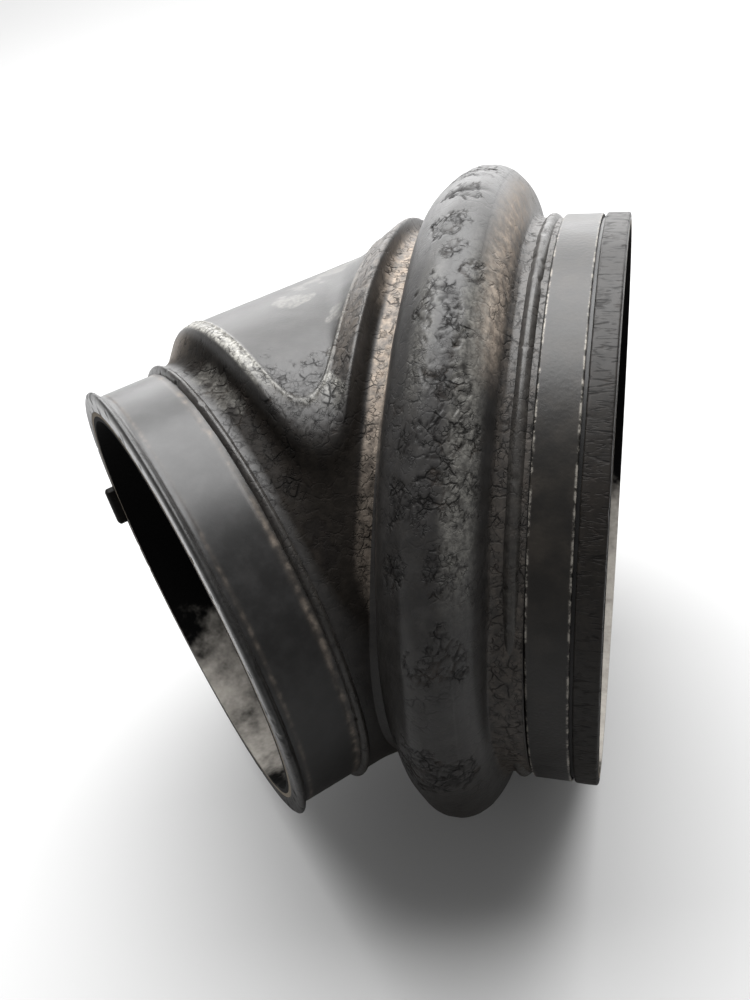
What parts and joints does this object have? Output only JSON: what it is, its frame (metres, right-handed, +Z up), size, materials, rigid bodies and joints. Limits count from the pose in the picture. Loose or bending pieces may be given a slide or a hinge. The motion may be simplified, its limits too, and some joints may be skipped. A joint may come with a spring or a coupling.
{
  "type": "rubber expansion joint",
  "caption": "Reducing 45 degree rubber elbow with a single arch, cuffed ends, a raised wedge pad on the outside of the bend and a steel band; the arch gives in length and in angle.",
  "frame": {"origin": "centre of the large mouth's end face", "axes": "+X out of the large mouth along its axis; +Z up, square to the plane of the bend; the small end turns towards -Y"},
  "size_m": [0.2175, 0.2597, 0.2508],
  "materials": {
    "cover_rubber": "aged satin black moulded rubber, crazed",
    "bead_rubber": "satin black moulded rubber, nicked",
    "pad_rubber": "weathered grey-black rubber with worn patches",
    "liner_rubber": "dull black rubber with pale dust",
    "ply_fabric": "rubberised woven nylon",
    "ring_steel": "drawn wire",
    "band_steel": "black paint with orange-peel texture, edges worn bright"
  },
  "bodies": {
    "elbow": {"elbow_liner": "liner_rubber", "elbow_plies": "ply_fabric", "elbow_cover": "cover_rubber", "small_mouth_bead": "bead_rubber", "small_stop_bead": "bead_rubber", "wedge_pad": "pad_rubber", "pad_panel": "pad_rubber", "locating_lug": "pad_rubber", "left_body_ring": "ring_steel", "left_flank_liner": "liner_rubber", "left_flank_plies": "ply_fabric", "left_flank_cover": "cover_rubber"},
    "crown": {"crown_liner": "liner_rubber", "crown_plies": "ply_fabric", "crown_cover": "cover_rubber"},
    "right_flank": {"right_flank_liner": "liner_rubber", "right_flank_plies": "ply_fabric", "right_flank_cover": "cover_rubber"},
    "collar": {"collar_liner": "liner_rubber", "collar_plies": "ply_fabric", "collar_cover": "cover_rubber", "ridge_bead": "bead_rubber", "clamp_band": "band_steel", "large_end_wrap": "cover_rubber", "right_body_ring": "ring_steel"}
  },
  "joints": [
    {"name": "arch_axial", "type": "slide", "parent": "elbow", "child": "crown", "axis": [1, 0, 0], "range_m": [-0.008, 0.005], "stiffness_N_per_m": 30000, "deforming": ["left_flank_liner", "left_flank_plies", "left_flank_cover"]},
    {"name": "arch_swing", "type": "hinge", "parent": "crown", "child": "right_flank", "pos_m": [-0.0503, 0, 0], "axis": [0, 0, 1], "range_deg": [-2.5, 2.5], "stiffness_Nm_per_rad": 450, "deforming": ["right_flank_liner", "right_flank_plies", "right_flank_cover"]},
    {"name": "arch_tilt", "type": "hinge", "parent": "right_flank", "child": "collar", "pos_m": [-0.0503, 0, 0], "axis": [0, 1, 0], "range_deg": [-2.5, 2.5], "stiffness_Nm_per_rad": 450, "deforming": ["right_flank_liner", "right_flank_plies", "right_flank_cover"]}
  ]
}
